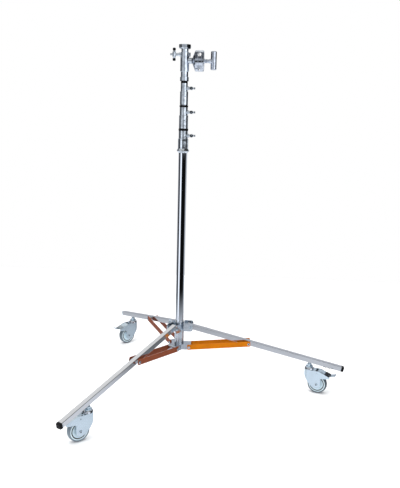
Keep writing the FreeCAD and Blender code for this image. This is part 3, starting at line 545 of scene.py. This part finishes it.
def hub_trim(side):
    """Dark ring in the hub's groove, painted shade for the groove, and a bright ring beside it, on both
    faces.
    """
    mesh = bmesh.new()
    floor = hub_half_width - hub_groove_depth
    top = hub_half_width + 0.15 * MM
    crest = hub_half_width + 0.8 * MM
    low, high = hub_groove_radius - 2.3 * MM, hub_groove_radius + 2.2 * MM
    inner, outer = hub_rim_radius - 1.5 * MM, hub_rim_radius + 1.5 * MM
    for sign in (1, -1):
        dark = [(low, sign * floor), (low, sign * top), (high, sign * top), (high, sign * floor)]
        face = sign * hub_half_width
        bright = [(inner, face), (hub_rim_radius, sign * crest), (outer, face)]
        closed_lathe(mesh, dark, here, 56, 1)
        closed_lathe(mesh, bright, here, 56)
    looks = [pale_plastic, black_plastic]
    new_piece("hub_trim_" + side, mesh, on_wheel(side), looks, "wheel_" + side)


def tread_lines(side):
    """Two fine moulding ridges round the tread."""
    mesh = bmesh.new()
    r = tyre_radius - tread_crown * tread_line_share ** 2
    for sign in (-1, 1):
        height = sign * tread_line_share * tread_half_width
        ridge = profile(r, (-0.3, -0.5), (0.15, 0), (-0.3, 0.5))
        closed_lathe(mesh, [(radius, height + along) for radius, along in ridge], here, 72)
    new_piece("tread_lines_" + side, mesh, on_wheel(side), tyre_rubbers_lit_and_shaded[side], "wheel_" + side)


pad_start = 38.0 * MM
pad_end = 65.0 * MM
pad_top = 17.5 * MM
pad_half = 14.5 * MM
pad_corner = 6.0 * MM
pad_sink = 2.0 * MM
pad_rise = 0.9 * MM
pad_ribs = 7
end_rib_share = 0.62
rib_share = 0.82
rib_half = 0.9 * MM
rib_height = 1.8 * MM
band_half = 18.2 * MM
band_beyond_pad = 1.0 * MM
band_below = 1.0 * MM
band_above = 0.8 * MM
pedal_lift = 12.0 * MM
pedal_plate = 2.5 * MM


def pedal_pad(side):
    """Ribbed rubber cover on the pedal's pad, and the band that holds it round the plate."""
    mesh = bmesh.new()
    cushion = rounded(pad_start, pad_end, pad_half, pad_corner, 5)
    prism(mesh, cushion, pad_top - pad_sink, pad_top + pad_rise, bevel=0.6 * MM)
    band = rectangle(pad_start - band_beyond_pad, pad_end + band_beyond_pad, -band_half, band_half)
    prism(mesh, band, pedal_lift - band_below, pedal_lift + pedal_plate + band_above, bevel=0.5 * MM)
    for i in range(pad_ribs):
        x = pad_start + (pad_end - pad_start) * (i + 1) / (pad_ribs + 1)
        reach = pad_half * (end_rib_share if i in (0, pad_ribs - 1) else rib_share)
        rib = rectangle(x - rib_half, x + rib_half, -reach, reach)
        prism(mesh, rib, pad_top, pad_top + rib_height, bevel=0.4 * MM)
    new_piece("pedal_pad_" + side, mesh, on_pedal(side), pad_rubbers[side], "pedal_" + side)


nipple_out = 33.0 * MM
nipple_across = 12.0 * MM
nipple_ball = 3.2 * MM
nipple_ball_z = 6.0 * MM


def grease_nipple(side):
    """Black cap on a short fitting beside the race."""
    mesh = bmesh.new()
    closed_lathe(mesh, profile(0, (tip, 0), (2.2, 0), (2.2, 2.5), (1.5, 3.0), (tip, 3.0)))
    angles = [math.radians(degrees) for degrees in range(20, 180, 20)]
    cap = [(nipple_ball * math.sin(angle), nipple_ball_z - nipple_ball * math.cos(angle)) for angle in angles]
    cap.insert(0, (tip * MM, nipple_ball_z - nipple_ball))
    cap.append((tip * MM, nipple_ball_z + nipple_ball))
    lathe(mesh, cap, here, 20, 1)
    at = on_swivel(side, nipple_out, nipple_across, crown_z)
    new_piece("grease_nipple_" + side, mesh, at, [zinc, black_plastic], "caster_" + side)


for side in legs:
    ball_race(side)
    stem_thread(side)
    axle_sockets(side)
    hub_trim(side)
    tread_lines(side)
for side in braked:
    pedal_pad(side)
grease_nipple("front")

# Legs and braces

leg_half = 12.7 * MM
leg_end_along = 822.0 * MM
cap_rim = 8.0 * MM
cap_start_along = leg_end_along - cap_rim
brace_pin_along = 311.5 * MM
cross_tube_radius = 7.0 * MM
leg_bolt_reach = 33.5 * MM
brace_bolt_reach = 32.5 * MM
bolt_socket_width = 5.0 * MM
skirt_outward = 0.35 * MM
skirt_wall = 0.6 * MM
skirt_corner = 2.2 * MM
skirt_length = 6.5 * MM
skirt_chamfer = 0.5 * MM
rivet_before_cap = 9.0 * MM
leg_stop_spans = ((716.0 * MM, 731.0 * MM), (741.0 * MM, 753.0 * MM))
leg_stop_sink = 0.5 * MM
leg_stop_rise = 1.6 * MM


def on_flank(along, sign):
    """A place on a side face of the leg, with Z out of it, seen from the leg's own place."""
    turn = Matrix.Rotation(math.radians(-90 * sign), 4, "X")
    return Matrix.Translation((along, sign * leg_half, 0)) @ turn


def weld_beads(side):
    """Rippled weld round the cross tube, on both sides of the leg."""
    mesh = bmesh.new()
    bead = profile(cross_tube_radius, (-0.2, 0), (0.2, 1.9), (1.6, 1.3), (2.3, 0))
    for sign in (1, -1):
        closed_lathe(mesh, bead, on_flank(brace_pin_along, sign), 96, wave=0.02, waves=24)
    new_piece("weld_beads_" + side, mesh, on_leg(side), leg_steel, "leg_" + side, 60)


def cap_skirt(side):
    """Skirt of the end cap, folded round the end of the leg's tube."""
    half = leg_half + skirt_outward
    inward = (half - skirt_wall) / half
    outline = rounded(-half, half, half, skirt_corner, 3)
    inner = [(x * inward, y * inward) for x, y in outline]
    mesh = bmesh.new()
    rings = []
    edge = skirt_length - skirt_chamfer
    for loop, before_cap in ((inner, skirt_length), (outline, edge), (outline, 0), (inner, 0)):
        rings.append([mesh.verts.new((cap_start_along - before_cap, a, b)) for a, b in loop])
    for ring, following in zip(rings, rings[1:] + rings[:1]):
        for j in range(len(ring)):
            k = (j + 1) % len(ring)
            mesh.faces.new((ring[j], ring[k], following[k], following[j]))
    new_piece("cap_skirt_" + side, mesh, on_leg(side), cap_plastics[side], "leg_" + side)


def cap_rivets(side):
    """Two round rivets that hold the end cap, one on each side of the leg."""
    mesh = bmesh.new()
    for sign in (1, -1):
        at = on_flank(cap_start_along - rivet_before_cap, sign)
        lathe(mesh, profile(0, (2.6, 0), (2.3, 0.7), (1.4, 1.15), (tip, 1.3)), at, 20)
    new_piece("cap_rivets_" + side, mesh, on_leg(side), zinc, "leg_" + side)


def bolt_sockets(side):
    """Hex sockets in the leg pivot bolt, the brace's casting bolt and its two leg-end bolts."""
    across = joint_axis("leg_hinge_" + side)
    outer = on_leg(side) @ Vector((brace_pin_along, 0, 0))
    bolts = (("collar", joint_place("leg_hinge_" + side), leg_bolt_reach, "leg_collar"),
             ("casting", joint_place("brace_hinge_" + side), brace_bolt_reach, "column"),
             ("strap", outer, brace_bolt_reach, "brace_" + side))
    for label, middle, reach, body in bolts:
        for mark, direction in (("a", across), ("b", -across)):
            at = facing(middle + direction * reach, direction)
            socket("%s_socket_%s_%s" % (label, side, mark), at, bolt_socket_width, body)


def leg_stop(side):
    """Black rubber stop under the leg's end, above the pedal."""
    mesh = bmesh.new()
    under = Matrix.Translation((0, 0, -leg_half)) @ Matrix.Scale(-1, 4, (0, 0, 1))
    for start, end in leg_stop_spans:
        outline = rectangle(start, end, -leg_half * 0.9, -leg_half * 0.35)
        prism(mesh, outline, -leg_stop_sink, leg_stop_rise, under, bevel=0.5 * MM)
    new_piece("leg_stop_" + side, mesh, on_leg(side), dark_rubber, "leg_" + side)


for side in legs:
    weld_beads(side)
    cap_skirt(side)
    cap_rivets(side)
    bolt_sockets(side)
leg_stop("right")

# Collars, knobs and head

knob_bar_half = 29.0 * MM
knob_bar_end_radius = 5.0 * MM
knob_cap_radius = 4.6 * MM
knob_cap_reach = 18.0 * MM
knob_bar_offset = 18.0 * MM
receiver_bar_offset = 50.8 * MM
across_mast = Vector((0, 1, 0))
lip_height = 1.8 * MM
head_ring_radius = 21.0 * MM
score_shade_lines_below_step = (6.0 * MM, 9.0 * MM)
set_screw_below_step = 24.0 * MM
set_screw_width = 3.0 * MM
set_screw_azimuth = math.radians(-70)


def knob_caps(knob, bar, bar_offset):
    """Moulded caps with bright rivets on the two ends of a T-knob's bar, and one on its screw's end."""
    axis = joint_axis(knob + "_turn")
    middle = Vector((mast_x, mast_y, joint_place(knob + "_turn").z)) + axis * bar_offset
    r = knob_bar_end_radius
    shell = profile(r, (1.1, -11.0), (2.4, -10.0), (2.0, -0.8), (1.0, 0.3))
    shell += [(r * 0.5, 0.9 * MM), (tip * MM, 0.9 * MM)]
    rivet = profile(0, (2.4, 0.9), (2.0, 1.5), (1.0, 1.8), (tip, 1.8))
    mouth = profile(r, (-0.5, -10.0), (2.4, -10.0), (1.4, -11.0))
    mesh = bmesh.new()
    for outward in (bar, -bar):
        at = facing(middle + outward * knob_bar_half, outward)
        lathe(mesh, shell, at, 28)
        closed_lathe(mesh, mouth, at, 28)
        lathe(mesh, rivet, at, 20, 1)
    end_cap = profile(knob_cap_radius, (0, -4.0), (0.5, -3.6), (0.5, -1.4))
    end_cap += [(knob_cap_radius * 0.7, 0), (tip * MM, 0.2 * MM)]
    lathe(mesh, end_cap, facing(middle + axis * knob_cap_reach, axis), 28)
    new_piece(knob + "_caps", mesh, here, [black_plastic, zinc], knob)


def lip_piece(name, low, radius, body):
    """Black rubber lip at the end of a collar, beside its liner ring."""
    mesh = bmesh.new()
    top = lip_height / MM
    lip = profile(radius, (-0.4, 0), (0.1, 0.1), (0.25, top / 2), (0.1, top), (-0.4, top))
    closed_lathe(mesh, lip, here, 56)
    new_piece(name, mesh, Matrix.Translation((mast_x, mast_y, low)), black_plastic, body)


def collar_trim(carrier):
    """Two fine dark lines, painted shade in score grooves, a lip at the upper end and a set screw on a
    collar.
    """
    body, wide, narrow, step_z = collars[carrier]
    mesh = bmesh.new()
    for below in score_shade_lines_below_step:
        line = profile(wide, (-0.2, -0.35), (0.12, 0), (-0.2, 0.35))
        closed_lathe(mesh, [(radius, step_z - below + along) for radius, along in line], here, 48)
    at = Matrix.Translation((mast_x, mast_y, 0))
    new_piece(carrier + "_score_shade_lines", mesh, at, dark_rubber, body)
    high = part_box(carrier + "_collar")[1][2]
    lip_piece(carrier + "_upper_lip", high - lip_height, narrow, body)
    direction = Vector((math.cos(set_screw_azimuth), math.sin(set_screw_azimuth), 0))
    point = Vector((mast_x, mast_y, step_z - set_screw_below_step)) + direction * (wide + 0.05 * MM)
    socket(carrier + "_set_screw", facing(point, direction), set_screw_width, body)


for node, radius, body in (("riser_1_collar", collars["riser_1"][1], "riser_1"),
                           ("riser_2_collar", collars["riser_2"][1], "riser_2"),
                           ("head_body", head_ring_radius, "head")):
    lip_piece(node + "_lower_lip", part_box(node)[0][2], radius, body)
for carrier, (_, _, narrow, _) in collars.items():
    collar_trim(carrier)
    knob_caps(carrier + "_knob", across_mast, narrow + knob_bar_offset)
knob_caps("receiver_knob", UP, receiver_bar_offset)


grip_thread_radius = 8.5 * MM
grip_thread_depth = 0.5 * MM
grip_thread_pitch = 1.5 * MM
grip_thread_start = 3.0 * MM
grip_thread_end = 17.0 * MM
grip_disc_radius = 48.5 * MM
rear_teeth_along = 32.0 * MM
front_teeth_along = 50.0 * MM


def grip_thread():
    """Screw thread of the grip head's T-screw, and a ring round it on the washer."""
    at = facing(joint_place("grip_handle_turn"), joint_axis("grip_handle_turn"))
    mesh = bmesh.new()
    closed_lathe(mesh, profile(0, (9.0, 2.5), (9.8, 3.4), (11.5, 3.4), (12.4, 2.5)), at, 40)
    thread(mesh, grip_thread_radius, grip_thread_depth, grip_thread_pitch, grip_thread_start, grip_thread_end,
           at, 28)
    new_piece("grip_thread", mesh, here, alloy, "grip_handle", 20)


def disc_teeth(name, body, along):
    """Fine serrations round the rim of a grip disc."""
    axis = joint_axis("grip_turn")
    at = facing(joint_place("grip_turn") + axis * along, axis)
    teeth = profile(grip_disc_radius, (-0.1, -1.2), (0.45, -0.9), (0.45, 0.9), (-0.1, 1.2))
    mesh = bmesh.new()
    closed_lathe(mesh, teeth, at, 240, wave=0.004, waves=60)
    new_piece(name, mesh, here, alloy, body, 30)


grip_thread()
disc_teeth("rear_disc_teeth", "grip_rear", rear_teeth_along)
disc_teeth("front_disc_teeth", "grip_front", front_teeth_along)

# Camera place, solved from the photograph relative to the mast axis

camera_offset = (0.262, -3.0235, 1.4092)
camera_yaw = math.radians(-3.15)
camera_pitch = math.radians(12.11)
camera_roll = math.radians(1.55)
focal_pixels = 615.83
image_height_pixels = 488
sensor = 36.0

# Floor and light

floor_half = 2.2


def make_floor():
    """White floor that the metal doesn't mirror, so that it shows the darker studio walls instead."""
    mesh = bmesh.new()
    corners = rectangle(-floor_half, floor_half, -floor_half, floor_half)
    mesh.faces.new([mesh.verts.new((x, y, 0)) for x, y in corners])
    data = bpy.data.meshes.new("floor")
    mesh.to_mesh(data)
    mesh.free()
    floor = bpy.data.objects.new("floor", data)
    bpy.context.collection.objects.link(floor)
    material, nodes, _ = new_material("floor_paper")
    shader = shader_of(nodes)
    shader.inputs["Base Color"].default_value = (0.96, 0.96, 0.96, 1)
    shader.inputs["Roughness"].default_value = 0.9
    shader.inputs["Specular IOR Level"].default_value = 0.1
    data.materials.append(material)
    floor.visible_glossy = False


def area_light(name, location, aim, size, power):
    """A soft rectangular lamp that lights the part and isn't seen in its metal."""
    data = bpy.data.lights.new(name, "AREA")
    data.shape = "RECTANGLE"
    data.size, data.size_y = size
    data.energy = power
    lamp = bpy.data.objects.new(name, data)
    lamp.visible_glossy = False
    lamp.location = location
    lamp.rotation_euler = (Vector(aim) - Vector(location)).to_track_quat("-Z", "Y").to_euler()
    bpy.context.collection.objects.link(lamp)


# Brightness of the studio's walls by azimuth in degrees, from the camera's direction towards its right
lower_walls = ((-180, 0.55), (-137, 0.50), (-123, 0.10), (-66, 0.06), (-58, 1.3), (-28, 1.3), (-20, 0.02),
               (0, 0.004), (72, 0.004), (90, 0.03), (105, 0.42), (122, 0.70), (140, 0.5), (165, 0.30),
               (180, 0.55))
upper_walls = ((-180, 0.55), (-150, 0.40), (-130, 0.10), (-85, 0.10), (-60, 0.50), (-25, 0.62), (0, 0.40),
               (18, 1.2), (30, 1.5), (55, 1.5), (66, 0.4), (78, 0.01), (126, 0.01), (150, 0.65), (180, 0.55))
floor_horizon = ((-180, 0.90), (-60, 1.0), (-20, 0.86), (10, 0.80), (50, 0.80), (80, 0.98), (103, 0.20),
                 (150, 0.20), (168, 0.80), (180, 0.90))

# Brightness of the ceiling's parts, and of the floor as the metal mirrors it
near_left_ceiling = 0.55
near_right_ceiling = 0.06
far_ceiling = 0.95
mirrored_floor = 0.90
wall_tint = (0.94, 0.98, 1.06)
brightest = 2.0

# Where one look gives way to the next, as the part of a direction along Z, and for the ceiling along X and Y
lower_to_upper_walls = (-0.078, 0.010)
horizon_to_walls = (-0.37, -0.28)
floor_to_horizon = (-0.43, -0.39)
walls_to_ceiling = (0.48, 0.62)
ceiling_left_to_right = (0.28, 0.46)
ceiling_near_to_far = (0.36, 0.56)


def make_world():
    """Studio walls, a soft ceiling, the floor as the metal mirrors it, and a white backdrop."""
    world = bpy.data.worlds.new("studio")
    bpy.context.scene.world = world
    world.use_nodes = True
    nodes, links = world.node_tree.nodes, world.node_tree.links
    background = nodes["Background"]
    coordinates = nodes.new("ShaderNodeTexCoord")
    turn = nodes.new("ShaderNodeMapping")
    turn.inputs["Rotation"].default_value[2] = -math.atan2(camera_offset[1], camera_offset[0])
    links.new(coordinates.outputs["Generated"], turn.inputs["Vector"])
    azimuth = nodes.new("ShaderNodeTexGradient")
    azimuth.gradient_type = "RADIAL"
    links.new(turn.outputs["Vector"], azimuth.inputs["Vector"])
    split = nodes.new("ShaderNodeSeparateXYZ")
    links.new(coordinates.outputs["Generated"], split.inputs["Vector"])

    def walls(levels):
        stops = [(0.5 + degrees / 360, shaded(wall_tint, level, brightest)) for degrees, level in levels]
        return ramp(nodes, links, azimuth.outputs["Fac"], stops)

    def layered(below, above, span, along="Z"):
        """Blends two looks as a direction's part along an axis goes through a span."""
        height = smooth_step(nodes, links, split.outputs[along], *span)
        return color_mix(nodes, links, height.outputs["Result"], below, above).outputs["Result"]

    room = layered(walls(lower_walls), walls(upper_walls), lower_to_upper_walls)
    room = layered(walls(floor_horizon), room, horizon_to_walls)
    room = layered(shaded(wall_tint, mirrored_floor, brightest), room, floor_to_horizon)
    ceiling = layered((near_left_ceiling,) * 3, (near_right_ceiling,) * 3, ceiling_left_to_right, "X")
    ceiling = layered(ceiling, (far_ceiling,) * 3, ceiling_near_to_far, "Y")
    room = layered(room, ceiling, walls_to_ceiling)
    rays = nodes.new("ShaderNodeLightPath")
    seen = color_mix(nodes, links, rays.outputs["Is Camera Ray"], room, (1, 1, 1))
    links.new(seen.outputs["Result"], background.inputs["Color"])
    background.inputs["Strength"].default_value = 1.0


# Each lamp: its name, place, height of its aim on the mast, size and power
lamps = (
    ("top", (mast_x, mast_y, 4.5), 0.0, (6.0, 6.0), 300.0),
    ("key", (mast_x - 2.6, -2.6, 3.0), 0.8, (1.6, 2.4), 60.0),
    ("fill", (mast_x + 3.2, -1.8, 2.4), 0.8, (1.6, 2.4), 20.0),
)
make_floor()
make_world()
for name, location, aim_z, size, power in lamps:
    area_light(name, location, (mast_x, mast_y, aim_z), size, power)

# Camera


def make_camera():
    """Camera whose vertical field is that of the photograph, turned by yaw, pitch and roll."""
    data = bpy.data.cameras.new("camera")
    data.sensor_fit = "VERTICAL"
    data.sensor_height = sensor
    data.lens = focal_pixels * sensor / image_height_pixels
    data.clip_end = 100.0
    camera = bpy.data.objects.new("camera", data)
    level = Vector((math.sin(camera_yaw), math.cos(camera_yaw), 0))
    ahead = level * math.cos(camera_pitch) - UP * math.sin(camera_pitch)
    flat_right = Vector((math.cos(camera_yaw), -math.sin(camera_yaw), 0))
    flat_up = flat_right.cross(ahead)
    right = flat_right * math.cos(camera_roll) + flat_up * math.sin(camera_roll)
    up = flat_up * math.cos(camera_roll) - flat_right * math.sin(camera_roll)
    turn = Matrix((right, up, -ahead)).transposed().to_4x4()
    camera.matrix_world = Matrix.Translation(Vector(camera_offset) + Vector((mast_x, mast_y, 0))) @ turn
    bpy.context.collection.objects.link(camera)
    bpy.context.scene.camera = camera


make_camera()
bpy.context.scene.view_settings.view_transform = "Standard"
